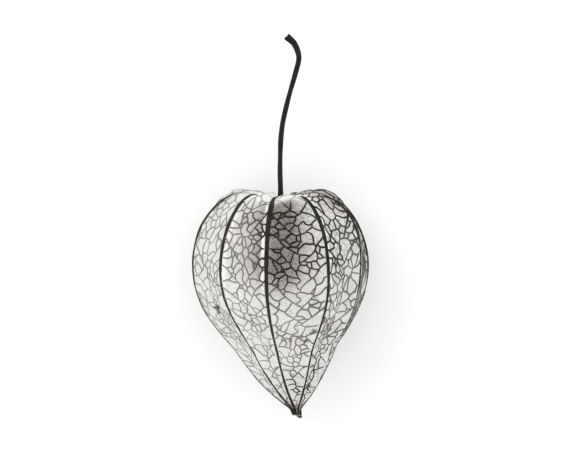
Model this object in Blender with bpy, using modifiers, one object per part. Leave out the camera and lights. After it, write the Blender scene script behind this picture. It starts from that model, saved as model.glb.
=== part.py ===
"""A picked physalis lantern: a dry papery husk with ten ribs, the berry inside it, and its stalk.

The lantern is modelled hanging upright, stalk up and front towards -Y, and then laid on its back,
the way a picked one lies on a table. Run it with blender --background --python part.py, or from
the text editor. Metres, +Z up, origin on the surface under the middle of the object.
"""

import math

import bpy
from mathutils import Vector
from mathutils.geometry import interpolate_bezier

MM = 0.001

# The husk's outline, turned about the upright axis. Depth is measured down from the crest of the
# shoulders, which stand higher than the dimple that the stalk comes out of.
HUSK_RADIUS = 17.2 * MM
HUSK_LENGTH = 45.0 * MM
EQUATOR_DEPTH = 15.0 * MM
CREST_RADIUS = 8.0 * MM
DIMPLE_DEPTH = 3.6 * MM
STALK_HOLE_RADIUS = 1.6 * MM
FLANK_RADIUS = 9.7 * MM
FLANK_DEPTH = 31.4 * MM
NECK_RADIUS = 1.1 * MM
NECK_DEPTH = 43.4 * MM
MOUTH_RADIUS = 0.85 * MM
WALL = 0.45 * MM

# Its own weight presses the papery back flat this far behind the axis, which is where it lies.
LYING_DEPTH = 16.1 * MM

# The crest dips at the front and the back, so from the front the husk is heart-shaped.
RIM_DIP = 1.3 * MM
RIM_DIP_DEPTH = 10.0 * MM
RIM_DIP_INNER_RADIUS = 3.0 * MM
RIM_DIP_RAMP = 4.0 * MM

# The ten ribs. They crowd a little on the right (+X), and the first one, at the front, grew a
# little to the left of its even place.
RIBS = 10
FIRST_RIB = math.radians(-4)
FIRST_RIB_STRAY = math.radians(-5.5)
RIB_CROWDING = math.radians(14)
KEEL_HEIGHT = 0.30 * MM
KEEL_SHARPNESS = 8
MAIN_RIB_RISE = 0.25 * MM
PANEL_PUFF = 0.70 * MM
PANEL_SAG = 0.55 * MM
PUFF_DEPTH = 7.0 * MM
RELIEF_FADE = 8.0 * MM
TIP_LEAN = 3.3 * MM
LEAN_START = 15.0 * MM

# The berry hangs inside, just clear of the stalk's end.
BERRY_RADIUS = 8.4 * MM
BERRY_HEIGHT = 16.0 * MM
BERRY_GAP = 0.35 * MM

# The stalk: thin in the middle, thicker at the hooked end and where it meets the husk.
STALK_BEVEL = 1.0 * MM
RECEPTACLE_RADIUS = 2.3 * MM
RECEPTACLE_THICKNESS = 0.7 * MM
FIT_GAP = 0.35 * MM

STEPS_PER_PANEL = 6
ARC_POINTS = 7


def clear_scene():
    for obj in list(bpy.data.objects):
        bpy.data.objects.remove(obj, do_unlink=True)


def new_collection(name):
    collection = bpy.data.collections.new(name)
    bpy.context.scene.collection.children.link(collection)
    return collection


def make_material(name, colour, roughness):
    material = bpy.data.materials.new(name)
    material.use_nodes = True
    shader = material.node_tree.nodes["Principled BSDF"]
    shader.inputs["Base Color"].default_value = (*colour, 1.0)
    shader.inputs["Roughness"].default_value = roughness
    shader.inputs["Metallic"].default_value = 0.0
    return material


def add_object(name, data, material, collection, parent):
    obj = bpy.data.objects.new(name, data)
    obj.data.materials.append(material)
    obj.parent = parent
    collection.objects.link(obj)
    return obj


def smoothstep(value):
    value = min(1.0, max(0.0, value))
    return value * value * (3.0 - 2.0 * value)


def husk_profile():
    """Points (radius, depth) from the stalk's hole over the crest and down to the mouth at the tip."""
    knots = (
        # (point, handle towards the stalk, handle towards the tip)
        ((STALK_HOLE_RADIUS, DIMPLE_DEPTH), None, (0.6 * MM, -2.4 * MM)),
        ((CREST_RADIUS, 0.0), (-3.4 * MM, 0.0), (4.6 * MM, 0.0)),
        ((HUSK_RADIUS, EQUATOR_DEPTH), (0.0, -7.7 * MM), (0.0, 7.6 * MM)),
        ((FLANK_RADIUS, FLANK_DEPTH), (3.5 * MM, -4.8 * MM), (-2.8 * MM, 5.4 * MM)),
        ((NECK_RADIUS, NECK_DEPTH), (2.8 * MM, -2.6 * MM), (-0.2 * MM, 0.5 * MM)),
        ((MOUTH_RADIUS, HUSK_LENGTH), (0.0, -0.6 * MM), None),
    )
    points = []
    for (start, _, out), (end, back, _) in zip(knots, knots[1:]):
        a, b = Vector(start).to_3d(), Vector(end).to_3d()
        arc = interpolate_bezier(a, a + Vector(out).to_3d(), b + Vector(back).to_3d(), b, ARC_POINTS)
        points += [point.to_2d() for point in arc[bool(points):]]
    return points


def turned_mesh(name, points, steps):
    """The outline turned about the upright axis with a Screw, as a plain mesh."""
    outline = bpy.data.meshes.new(name + "_outline")
    corners = [(point.x, 0.0, -point.y) for point in points]
    edges = [(i, i + 1) for i in range(len(corners) - 1)]
    outline.from_pydata(corners, edges, [])
    turner = bpy.data.objects.new(name + "_turner", outline)
    bpy.context.scene.collection.objects.link(turner)
    screw = turner.modifiers.new("turn", "SCREW")
    screw.steps = screw.render_steps = steps
    screw.use_merge_vertices = True
    screw.merge_threshold = 0.00001
    graph = bpy.context.evaluated_depsgraph_get()
    mesh = bpy.data.meshes.new_from_object(turner.evaluated_get(graph))
    bpy.data.objects.remove(turner)
    return mesh


def rib_angle(turn):
    """The true angle of an even turn (0 at the first rib), measured from the front towards +X."""
    stray = 0.0
    if abs(turn) < math.tau / RIBS:
        stray = FIRST_RIB_STRAY * math.cos(turn * RIBS / 4.0) ** 2
    return FIRST_RIB + stray + turn - RIB_CROWDING * (1.0 - math.cos(turn)) / 2.0


def panel_relief(turn, depth):
    """How far the skin stands out from the plain outline: puffed shoulders, flat flanks, raised ribs."""
    across = math.sin(turn * RIBS / 2.0) ** 2
    flank = smoothstep(depth / PUFF_DEPTH)
    main_rib = MAIN_RIB_RISE * max(0.0, math.cos(turn * RIBS / 2.0)) * flank
    keel = KEEL_HEIGHT * (1.0 - across) ** KEEL_SHARPNESS * flank
    fade = smoothstep((HUSK_LENGTH - depth) / RELIEF_FADE)
    return fade * (keel + main_rib + across * (PANEL_PUFF * (1.0 - flank) - PANEL_SAG * flank))


def rim_dip(angle, radius, depth):
    """How far the crest of the shoulders dips at this angle from the front."""
    on_crest = smoothstep((radius - RIM_DIP_INNER_RADIUS) / RIM_DIP_RAMP)
    on_crest *= 1.0 - smoothstep(depth / RIM_DIP_DEPTH)
    return RIM_DIP * math.cos(angle) ** 2 * on_crest


def shape_husk(mesh):
    """Moves the turned skin's points onto the ribbed form, leans its tip and flattens its back."""
    normals = [vertex.normal.copy() for vertex in mesh.vertices]
    for vertex, normal in zip(mesh.vertices, normals):
        radius = math.hypot(vertex.co.x, vertex.co.y)
        depth = -vertex.co.z
        turn = math.atan2(vertex.co.x, -vertex.co.y)
        outward = normal.x * math.sin(turn) - normal.y * math.cos(turn)
        relief = panel_relief(turn, depth)
        radius += relief * outward
        depth -= relief * normal.z
        angle = rib_angle(turn)
        depth += rim_dip(angle, radius, depth)
        lean = TIP_LEAN * (max(0.0, depth - LEAN_START) / (HUSK_LENGTH - LEAN_START)) ** 2
        back = min(-radius * math.cos(angle), LYING_DEPTH)
        vertex.co = (radius * math.sin(angle) + lean, back, -depth)


def make_husk(material, collection, parent):
    mesh = turned_mesh("husk", husk_profile(), RIBS * STEPS_PER_PANEL)
    shape_husk(mesh)
    husk = add_object("husk", mesh, material, collection, parent)
    wall = husk.modifiers.new("wall", "SOLIDIFY")
    wall.thickness = WALL
    wall.offset = -1.0
    mesh.shade_smooth()
    return husk


def make_berry(material, collection, parent):
    bpy.ops.mesh.primitive_uv_sphere_add(segments=32, ring_count=20, radius=BERRY_RADIUS)
    berry = bpy.context.object
    berry.name = "berry"
    berry.data.name = "berry"
    squash = BERRY_HEIGHT / 2.0 / BERRY_RADIUS
    for vertex in berry.data.vertices:
        vertex.co.z *= squash
    top = DIMPLE_DEPTH + WALL + FIT_GAP + RECEPTACLE_THICKNESS + BERRY_GAP
    berry.location = (0.0, 0.0, -top - BERRY_HEIGHT / 2.0)
    berry.data.materials.append(material)
    berry.data.shade_smooth()
    berry.parent = parent
    for holder in list(berry.users_collection):
        holder.objects.unlink(berry)
    collection.objects.link(berry)
    return berry


def stalk_route():
    """Knots of the stalk as (x, y, z, half thickness), from the hooked end down into the husk."""
    return (
        (1.4 * MM, 3.4 * MM, 31.3 * MM, 0.80 * MM),
        (3.3 * MM, 3.2 * MM, 29.2 * MM, 0.70 * MM),
        (3.6 * MM, 2.8 * MM, 25.6 * MM, 0.55 * MM),
        (1.9 * MM, 1.9 * MM, 20.6 * MM, 0.46 * MM),
        (0.3 * MM, 0.9 * MM, 13.4 * MM, 0.46 * MM),
        (-0.1 * MM, 0.2 * MM, 6.0 * MM, 0.50 * MM),
        (0.0, 0.0, 0.0, 0.65 * MM),
        (0.0, 0.0, -DIMPLE_DEPTH, STALK_HOLE_RADIUS - FIT_GAP),
    )


def catmull_rom(before, start, end, after, share):
    """A smooth curve's point between start and end, as numbers of any length."""
    return [
        0.5 * (2 * b + (c - a) * share + (2 * a - 5 * b + 4 * c - d) * share**2
               + (3 * b - a - 3 * c + d) * share**3)
        for a, b, c, d in zip(before, start, end, after)
    ]


def make_stalk(material, collection, parent):
    """A round tube of changing thickness that ends, inside the husk, in the receptacle's disc."""
    knots = stalk_route()
    padded = (knots[0], *knots, knots[-1])
    stations = []
    for before, start, end, after in zip(padded, padded[1:], padded[2:], padded[3:]):
        stations += [catmull_rom(before, start, end, after, i / 4) for i in range(4)]
    inside = DIMPLE_DEPTH + WALL + FIT_GAP
    neck = STALK_HOLE_RADIUS - FIT_GAP
    stations += [
        (0.0, 0.0, -DIMPLE_DEPTH, neck),
        (0.0, 0.0, -inside, neck),
        (0.0, 0.0, -inside - 0.05 * MM, RECEPTACLE_RADIUS),
        (0.0, 0.0, -inside - RECEPTACLE_THICKNESS, RECEPTACLE_RADIUS * 0.8),
    ]
    curve = bpy.data.curves.new("stalk", "CURVE")
    curve.dimensions = "3D"
    curve.bevel_depth = STALK_BEVEL
    curve.bevel_resolution = 3
    curve.use_fill_caps = True
    spline = curve.splines.new("POLY")
    spline.points.add(len(stations) - 1)
    for point, (x, y, z, thickness) in zip(spline.points, stations):
        point.co = (x, y, z, 1.0)
        point.radius = thickness / STALK_BEVEL
    return add_object("stalk", curve, material, collection, parent)


def lay_down(pose, pieces):
    """Lays the lantern on its back and puts the middle of its footprint at the origin."""
    pose.rotation_euler = (math.radians(-90), 0.0, 0.0)
    bpy.context.view_layer.update()
    graph = bpy.context.evaluated_depsgraph_get()
    corners = []
    for piece in pieces:
        evaluated = piece.evaluated_get(graph)
        mesh = evaluated.to_mesh()
        corners += [evaluated.matrix_world @ vertex.co for vertex in mesh.vertices]
        evaluated.to_mesh_clear()
    low = Vector([min(corner[i] for corner in corners) for i in range(3)])
    high = Vector([max(corner[i] for corner in corners) for i in range(3)])
    pose.location = (-(low.x + high.x) / 2.0, -(low.y + high.y) / 2.0, -low.z)


def main():
    clear_scene()
    lantern = new_collection("physalis_berry")
    pose = bpy.data.objects.new("lying_pose", None)
    lantern.objects.link(pose)
    papery = make_material("husk_paper", (0.62, 0.58, 0.52), 0.75)
    skin = make_material("berry_skin", (0.13, 0.09, 0.07), 0.40)
    fibre = make_material("stalk_fibre", (0.07, 0.055, 0.045), 0.80)
    pieces = [
        make_husk(papery, lantern, pose),
        make_berry(skin, lantern, pose),
        make_stalk(fibre, lantern, pose),
    ]
    lay_down(pose, pieces)


main()
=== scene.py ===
"""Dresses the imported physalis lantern: a ribbed, net-veined papery husk, the dried berry in it and its stalk.

The lantern lies on its back on a pale table, and the camera looks straight down on it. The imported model
is the frame, so every piece is placed from its boxes. Lengths are metres and angles radians.
"""

import logging
import math
from collections import defaultdict
from dataclasses import dataclass, field
from enum import Enum

import bpy
import numpy as np
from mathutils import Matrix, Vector
from mathutils.geometry import delaunay_2d_cdt


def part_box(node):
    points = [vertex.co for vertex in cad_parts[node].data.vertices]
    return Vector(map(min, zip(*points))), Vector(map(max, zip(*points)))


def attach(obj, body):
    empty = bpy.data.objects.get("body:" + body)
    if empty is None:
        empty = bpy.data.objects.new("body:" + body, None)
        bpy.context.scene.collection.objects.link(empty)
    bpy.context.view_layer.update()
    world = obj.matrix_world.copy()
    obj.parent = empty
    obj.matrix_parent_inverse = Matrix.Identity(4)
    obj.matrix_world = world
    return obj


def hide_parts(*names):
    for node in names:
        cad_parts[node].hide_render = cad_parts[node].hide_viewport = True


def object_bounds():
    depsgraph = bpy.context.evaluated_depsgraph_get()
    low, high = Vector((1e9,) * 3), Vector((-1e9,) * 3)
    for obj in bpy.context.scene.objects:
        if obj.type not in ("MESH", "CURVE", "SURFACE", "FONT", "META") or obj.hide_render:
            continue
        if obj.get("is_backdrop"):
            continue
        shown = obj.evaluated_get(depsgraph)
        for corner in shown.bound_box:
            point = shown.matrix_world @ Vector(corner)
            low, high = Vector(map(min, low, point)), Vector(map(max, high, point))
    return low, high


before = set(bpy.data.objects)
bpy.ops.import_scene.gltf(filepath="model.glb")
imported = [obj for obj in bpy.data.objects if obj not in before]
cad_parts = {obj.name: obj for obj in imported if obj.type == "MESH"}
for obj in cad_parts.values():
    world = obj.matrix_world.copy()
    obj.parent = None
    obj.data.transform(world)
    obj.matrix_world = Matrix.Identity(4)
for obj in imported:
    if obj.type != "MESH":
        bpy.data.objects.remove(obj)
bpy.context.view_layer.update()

MM = 0.001
LOG = logging.getLogger("physalis")

Colour = tuple[float, float, float]
Socket = bpy.types.NodeSocket


class Slot(Enum):
    """The record's material slots."""

    HUSK = "husk_paper"
    BERRY = "berry_skin"
    STALK = "stalk_fibre"


class VeinRank(Enum):
    """How strong a vein of the net is, below the ten ribs."""

    BRANCH = "branch"
    LOOP = "loop"
    MESH = "mesh"


# ---------------------------------------------------------------------------------------------------
# Small helpers
# ---------------------------------------------------------------------------------------------------


def smoothstep(value: np.ndarray | float) -> np.ndarray:
    """A soft ramp from 0 to 1.

    Args:
        value: Where on the ramp, with its ends at 0 and 1.

    Returns:
        The ramp's height, 0 below it and 1 above it.
    """
    value = np.clip(value, 0.0, 1.0)
    return value * value * (3.0 - 2.0 * value)


def rise(value: np.ndarray, start: float, length: float | np.ndarray) -> np.ndarray:
    """A soft rise from 0 to 1 that begins at a start and takes a length.

    Args:
        value: Where on the rise.
        start: Where it begins.
        length: How long it is.

    Returns:
        The rise's height.
    """
    return smoothstep((value - start) / length)


def bell(value: np.ndarray, middle: float, width: float) -> np.ndarray:
    """A smooth bump, 1 in its middle and about a third at its width from there."""
    return np.exp(-(((value - middle) / width) ** 2))


@dataclass
class Ripples:
    """A smooth irregular field made of a few seeded waves, for what grew a little unevenly.

    Attributes:
        seed: The seed of the waves' directions and phases.
        waves: How many waves are added up.
        turn_rates: The fewest and the most periods in one turn about the lantern's axis.
        along_rates: The lowest and highest rate along the skin, in radians a metre.
    """

    seed: int
    waves: int = 9
    turn_rates: tuple[int, int] = (2, 9)
    along_rates: tuple[float, float] = (40.0, 340.0)

    def __post_init__(self) -> None:
        """Draws the waves."""
        rng = np.random.default_rng(self.seed)
        self.turn_rate = rng.integers(*self.turn_rates, self.waves)
        self.along_rate = rng.uniform(*self.along_rates, self.waves) * rng.choice((-1.0, 1.0), self.waves)
        self.phase = rng.uniform(0.0, math.tau, self.waves)

    def at(self, turn: np.ndarray, along: np.ndarray) -> np.ndarray:
        """The field's height, mostly between -1 and 1.

        Args:
            turn: Turns about the axis.
            along: Distances along the skin.

        Returns:
            One height for each point.
        """
        total = np.zeros(np.broadcast(turn, along).shape)
        for turn_rate, along_rate, phase in zip(self.turn_rate, self.along_rate, self.phase):
            total = total + np.sin(turn_rate * turn + along_rate * along + phase)
        return total / math.sqrt(self.waves)


def new_mesh_object(name: str, points: np.ndarray, edges: list, faces: list) -> bpy.types.Object:
    """Makes a mesh object at the origin and links it to the scene.

    Args:
        name: The object's and the mesh's name.
        points: The vertices, one row each.
        edges: Pairs of vertex numbers, for a mesh with loose edges.
        faces: Rings of vertex numbers, anticlockwise from outside.

    Returns:
        The new object.
    """
    mesh = bpy.data.meshes.new(name)
    mesh.from_pydata([tuple(point) for point in points], edges, faces)
    mesh.validate()
    mesh.shade_smooth()
    piece = bpy.data.objects.new(name, mesh)
    bpy.context.scene.collection.objects.link(piece)
    return piece


def add_values(piece: bpy.types.Object, name: str, values: np.ndarray) -> None:
    """Stores one number for each vertex as a named attribute.

    Args:
        piece: The mesh object.
        name: The attribute's name.
        values: One number for each vertex.
    """
    attribute = piece.data.attributes.new(name, "FLOAT", "POINT")
    attribute.data.foreach_set("value", np.asarray(values, np.float32))


def loft(name: str, rings: np.ndarray) -> bpy.types.Object:
    """Joins rings of points into one closed skin, with a fan over each end.

    Args:
        name: The piece's name.
        rings: Points as rings x points x 3, each ring anticlockwise seen from the last ring's side.

    Returns:
        The closed mesh object.
    """
    count, sides, _ = rings.shape
    points = np.concatenate([rings.reshape(-1, 3), rings[0].mean(0)[None], rings[-1].mean(0)[None]])
    first_hub, last_hub = count * sides, count * sides + 1
    faces = []
    for ring in range(count - 1):
        for side in range(sides):
            a, b = ring * sides + side, ring * sides + (side + 1) % sides
            faces.append((a, b, b + sides, a + sides))
    for side in range(sides):
        following = (side + 1) % sides
        faces.append((following, side, first_hub))
        faces.append(((count - 1) * sides + side, (count - 1) * sides + following, last_hub))
    return new_mesh_object(name, points, [], faces)


def smooth_route(knots: np.ndarray, steps: int) -> np.ndarray:
    """A smooth curve through knots of any number of values.

    Args:
        knots: One row of values for each knot.
        steps: Points made between each two knots.

    Returns:
        The curve's points, with the last knot at the end.
    """
    padded = np.vstack([2 * knots[0] - knots[1], knots, 2 * knots[-1] - knots[-2]])
    share = np.arange(steps)[:, None] / steps
    parts = []
    for a, b, c, d in zip(padded, padded[1:], padded[2:], padded[3:]):
        cubic = (3 * b - a - 3 * c + d) * share**3
        parts.append(0.5 * (2 * b + (c - a) * share + (2 * a - 5 * b + 4 * c - d) * share**2 + cubic))
    return np.vstack([*parts, knots[-1]])


# ---------------------------------------------------------------------------------------------------
# Node trees
# ---------------------------------------------------------------------------------------------------


class NodeBench:
    """Adds nodes to one tree and links them, so that a tree reads as a list of steps."""

    def __init__(self, tree: bpy.types.NodeTree) -> None:
        """Starts on a tree.

        Args:
            tree: The shader or geometry node tree.
        """
        self.tree = tree

    def add(self, kind: str, inputs: dict | None = None, **settings: object) -> bpy.types.Node:
        """Adds a node.

        Args:
            kind: The node's type.
            inputs: Values, or sockets to link, by the input's name or number.
            **settings: The node's own settings.

        Returns:
            The new node.
        """
        node = self.tree.nodes.new(kind)
        for name, value in settings.items():
            setattr(node, name, value)
        for key, value in (inputs or {}).items():
            if isinstance(value, Socket):
                self.tree.links.new(value, node.inputs[key])
            else:
                node.inputs[key].default_value = value
        return node

    def maths(self, operation: str, *values: float | Socket) -> Socket:
        """The result of a Math node.

        Args:
            operation: The node's operation.
            *values: Numbers or sockets.

        Returns:
            The result's socket.
        """
        return self.add("ShaderNodeMath", dict(enumerate(values)), operation=operation).outputs[0]

    def attribute(self, name: str) -> Socket:
        """A named attribute's value in a material.

        Args:
            name: The attribute's name.

        Returns:
            The value's socket.
        """
        return self.add("ShaderNodeAttribute", attribute_name=name).outputs["Fac"]

    def ramp(
        self, value: Socket, low: float, high: float, start: float = 0.0, end: float = 1.0
    ) -> Socket:
        """Maps a range to another smoothly.

        Args:
            value: The socket that is mapped.
            low: The value that gives start.
            high: The value that gives end.
            start: The result at low.
            end: The result at high.

        Returns:
            The result's socket.
        """
        inputs = {"Value": value, "From Min": low, "From Max": high, "To Min": start, "To Max": end}
        return self.add("ShaderNodeMapRange", inputs, interpolation_type="SMOOTHSTEP").outputs[0]

    def blend(self, share: float | Socket, first: Colour | Socket, second: Colour | Socket) -> Socket:
        """A colour between two.

        Args:
            share: 0 for the first colour and 1 for the second, or a socket.
            first: A colour of three numbers, or a socket.
            second: A colour of three numbers, or a socket.

        Returns:
            The colour's socket.
        """
        sides = [c if isinstance(c, Socket) else (*c, 1.0) for c in (first, second)]
        node = self.add("ShaderNodeMix", {0: share, 6: sides[0], 7: sides[1]}, data_type="RGBA")
        return node.outputs[2]

    def noise(
        self, vector: Socket, scale: float | Socket, detail: float = 3.0, roughness: float = 0.55
    ) -> Socket:
        """A noise texture's value.

        Args:
            vector: Where the noise is read.
            scale: The noise's scale, a number or a socket.
            detail: Its octaves.
            roughness: How strong the fine octaves are.

        Returns:
            The socket of the value, about 0.3 to 0.7.
        """
        inputs = {"Vector": vector, "Scale": scale, "Detail": detail, "Roughness": roughness}
        return self.add("ShaderNodeTexNoise", inputs).outputs["Fac"]


def new_group(name: str, inputs: dict[str, str], outputs: dict[str, str]) -> tuple:
    """Makes a shader node group with named sockets.

    Args:
        name: The group's name.
        inputs: Socket types by name.
        outputs: Socket types by name.

    Returns:
        The group, a bench on it, its input node and its output node.
    """
    group = bpy.data.node_groups.new(name, "ShaderNodeTree")
    for label, kind in inputs.items():
        group.interface.new_socket(label, in_out="INPUT", socket_type=kind)
    for label, kind in outputs.items():
        group.interface.new_socket(label, in_out="OUTPUT", socket_type=kind)
    bench = NodeBench(group)
    return group, bench, bench.add("NodeGroupInput"), bench.add("NodeGroupOutput")


def weathering_group() -> bpy.types.NodeTree:
    """Blotches and small dark flecks of a thing that has weathered, with a matching height.

    Returns:
        The group, with inputs Position and Scale and outputs Blotch, Fleck and Height.
    """
    number, vector = "NodeSocketFloat", "NodeSocketVector"
    group, bench, given, made = new_group(
        "weathering",
        {"Position": vector, "Scale": number},
        {"Blotch": number, "Fleck": number, "Height": number},
    )
    place, scale = given.outputs["Position"], given.outputs["Scale"]
    finer, fine_share = 5.0, 0.5
    broad = bench.noise(place, scale, detail=4.0, roughness=0.6)
    fine = bench.noise(place, bench.maths("MULTIPLY", scale, finer), detail=2.0, roughness=0.6)
    bench.tree.links.new(bench.ramp(broad, low=0.38, high=0.66), made.inputs["Blotch"])
    bench.tree.links.new(bench.ramp(fine, low=0.62, high=0.72), made.inputs["Fleck"])
    height = bench.maths("ADD", broad, bench.maths("MULTIPLY", fine, fine_share))
    bench.tree.links.new(height, made.inputs["Height"])
    return group


def fibre_group() -> bpy.types.NodeTree:
    """Streaks that run along a vein or a stalk.

    Returns:
        The group, with inputs Position, Run and Scale and outputs Streak and Height. Run is the
        distance along the piece.
    """
    number, vector = "NodeSocketFloat", "NodeSocketVector"
    group, bench, given, made = new_group(
        "fibre",
        {"Position": vector, "Run": number, "Scale": number},
        {"Streak": number, "Height": number},
    )
    place, scale = given.outputs["Position"], given.outputs["Scale"]
    stretch = 0.12
    run = bench.maths("MULTIPLY", given.outputs["Run"], bench.maths("MULTIPLY", scale, stretch))
    across = bench.add("ShaderNodeVectorMath", {0: place, "Scale": scale}, operation="SCALE")
    four = {"Vector": across.outputs[0], "W": run, "Scale": 1.0, "Detail": 3.0, "Roughness": 0.6}
    noise = bench.add("ShaderNodeTexNoise", four, noise_dimensions="4D").outputs["Fac"]
    bench.tree.links.new(bench.ramp(noise, low=0.35, high=0.65), made.inputs["Streak"])
    bench.tree.links.new(noise, made.inputs["Height"])
    return group


class Groups:
    """The shader node groups that more than one finish uses, each built once.

    Attributes:
        weathering: Blotches and flecks.
        fibre: Streaks along a run.
    """

    def __init__(self) -> None:
        """Builds the groups."""
        self.weathering = weathering_group()
        self.fibre = fibre_group()


def new_material(name: str) -> tuple[bpy.types.Material, NodeBench, bpy.types.Node, Socket]:
    """Starts a material.

    Args:
        name: The material's name.

    Returns:
        The material, a bench on its tree, its Principled BSDF and its Object coordinates.
    """
    material = bpy.data.materials.new(name)
    material.use_nodes = True
    bench = NodeBench(material.node_tree)
    shader = material.node_tree.nodes["Principled BSDF"]
    place = bench.add("ShaderNodeTexCoord").outputs["Object"]
    return material, bench, shader, place


# ---------------------------------------------------------------------------------------------------
# Finishes
# ---------------------------------------------------------------------------------------------------


@dataclass(frozen=True)
class MembraneFinish:
    """The papery skin between the veins: thin, pale, translucent, blotched and finely wrinkled, with painted
    highlights beside the ribs and on the rim and painted shade in front of the berry and on the shoulders.

    Attributes:
        pale: Colour of the clean skin.
        stained: Colour of the blotches.
        brown: Colour of the painted shade of the berry and on the shoulders, and of the dried tip.
        fleck: Colour of the small specks.
        hair: Colour of the finest veins.
        thin: Opacity of one face of the clean skin.
        thick: Opacity of one face of the blotched skin.
        brown_thin: Opacity of one face where that painted shade and the dried tip are.
        rib_highlight_opacity: Opacity of one face of the painted highlight in the strip beside a rib and on the
            rim.
        rib_highlight_width: Width of that strip.
        hair_spacing: Distance between two of the finest veins.
        hair_young: How much of the finest veins shows where the skin is young.
        hair_old: How much of them shows where it is old.
        hair_body: What the finest veins add to the opacity.
        fleck_share: How much of a speck shows.
        fleck_body: Opacity of one face at a full speck.
        blotch_scale: Scale of the blotches.
        wrinkle_scale: Scale of the fine wrinkles.
        relief: Depth of the wrinkles.
        shine: The level of its shine.
    """

    pale: Colour = (0.95, 0.945, 0.93)
    stained: Colour = (0.86, 0.84, 0.80)
    brown: Colour = (0.58, 0.535, 0.475)
    fleck: Colour = (0.16, 0.14, 0.12)
    hair: Colour = (0.33, 0.30, 0.26)
    thin: float = 0.60
    thick: float = 0.66
    brown_thin: float = 0.20
    rib_highlight_opacity: float = 0.8
    rib_highlight_width: float = 1.5 * MM
    hair_spacing: float = 0.42 * MM
    hair_young: float = 0.12
    hair_old: float = 0.45
    hair_body: float = 0.1
    fleck_share: float = 0.45
    fleck_body: float = 0.6
    blotch_scale: float = 210.0
    wrinkle_scale: float = 900.0
    relief: float = 0.12 * MM
    shine: float = 0.35

    def material(self, groups: Groups) -> bpy.types.Material:
        """Builds the material.

        Args:
            groups: The shared shader groups.

        Returns:
            The material.
        """
        material, bench, shader, place = new_material("husk_membrane")
        worn = bench.add(
            "ShaderNodeGroup", {"Position": place, "Scale": self.blotch_scale}, node_tree=groups.weathering
        )
        # blotches follow the darkening field, which holds painted shade in front of the berry and on the
        # shoulders
        blotch = bench.maths("MULTIPLY", worn.outputs["Blotch"], bench.attribute("age"))
        shade_and_dried_tip = bench.ramp(bench.attribute("shade_and_dried_tip"), low=0.08, high=0.85)
        # painted highlight: pale strips beside the ribs and a pale rim round the dimple
        left = self.strip(bench, "from_left_rib", "left_highlight")
        right = self.strip(bench, "from_right_rib", "right_highlight")
        strip = bench.maths("MAXIMUM", bench.maths("MAXIMUM", left, right), bench.attribute("rim"))
        fleck = bench.maths("MULTIPLY", worn.outputs["Fleck"], self.fleck_share)
        hair = self.hair_veins(bench, place)
        colour = bench.blend(blotch, self.pale, self.stained)
        # painted shade: darker in front of the berry and on the shoulders; the dried tip's brown is real
        colour = bench.blend(shade_and_dried_tip, colour, self.brown)
        shown = bench.ramp(bench.attribute("age"), 0.0, 1.0, self.hair_young, self.hair_old)
        lined = bench.maths("MULTIPLY", hair, shown)
        colour = bench.blend(lined, colour, self.hair)
        colour = bench.blend(fleck, colour, self.fleck)
        # painted highlight: the skin is painted pale in those strips and on the rim
        colour = bench.blend(strip, colour, self.pale)
        bench.tree.links.new(colour, shader.inputs["Base Color"])
        alpha = bench.ramp(blotch, 0.0, 1.0, self.thin, self.thick)
        sheer = bench.maths("MULTIPLY", shade_and_dried_tip, self.thin - self.brown_thin)
        alpha = bench.maths("SUBTRACT", alpha, sheer)
        alpha = bench.maths("ADD", alpha, bench.maths("MULTIPLY", hair, self.hair_body))
        alpha = bench.maths("MAXIMUM", alpha, bench.maths("MULTIPLY", fleck, self.fleck_body))
        # painted highlight: the strips and the rim are made more opaque, so they show white
        alpha = bench.maths("MAXIMUM", alpha, bench.maths("MULTIPLY", strip, self.rib_highlight_opacity))
        bench.tree.links.new(alpha, shader.inputs["Alpha"])
        wrinkle = bench.noise(place, self.wrinkle_scale, detail=4.0, roughness=0.6)
        height = bench.maths("ADD", worn.outputs["Height"], wrinkle)
        height = bench.maths("ADD", height, bench.maths("MULTIPLY", hair, 0.4))
        bump = bench.add("ShaderNodeBump", {"Strength": 0.6, "Distance": self.relief, "Height": height})
        bench.tree.links.new(bump.outputs["Normal"], shader.inputs["Normal"])
        rough = bench.ramp(blotch, 0.0, 1.0, start=0.5, end=0.75)
        bench.tree.links.new(rough, shader.inputs["Roughness"])
        shader.inputs["Specular IOR Level"].default_value = self.shine
        return material

    def hair_veins(self, bench: NodeBench, place: Socket) -> Socket:
        """The finest veins, finer than the modelled net.

        Args:
            bench: The material's bench.
            place: The material's Object coordinates.

        Returns:
            The socket, 1 on a vein and 0 beside it.
        """
        grid = {0: place, "Scale": 1.0 / self.hair_spacing}
        cells = bench.add("ShaderNodeVectorMath", grid, operation="SCALE").outputs[0]
        net = bench.add(
            "ShaderNodeTexVoronoi", {"Vector": cells, "Scale": 1.0}, feature="DISTANCE_TO_EDGE"
        )
        return bench.ramp(net.outputs["Distance"], low=0.03, high=0.10, start=1.0, end=0.0)

    def strip(self, bench: NodeBench, distance: str, strength: str) -> Socket:
        """How much a point belongs to the painted highlight in the strip beside a rib.

        Args:
            bench: The material's bench.
            distance: The attribute with the distance from the rib.
            strength: The attribute that says how strong that rib's painted highlight is.

        Returns:
            The socket, from 0 to 1.
        """
        inner = 0.6 * self.rib_highlight_width
        near = bench.ramp(bench.attribute(distance), inner, self.rib_highlight_width, start=1.0, end=0.0)
        return bench.maths("MULTIPLY", near, bench.attribute(strength))


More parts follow.
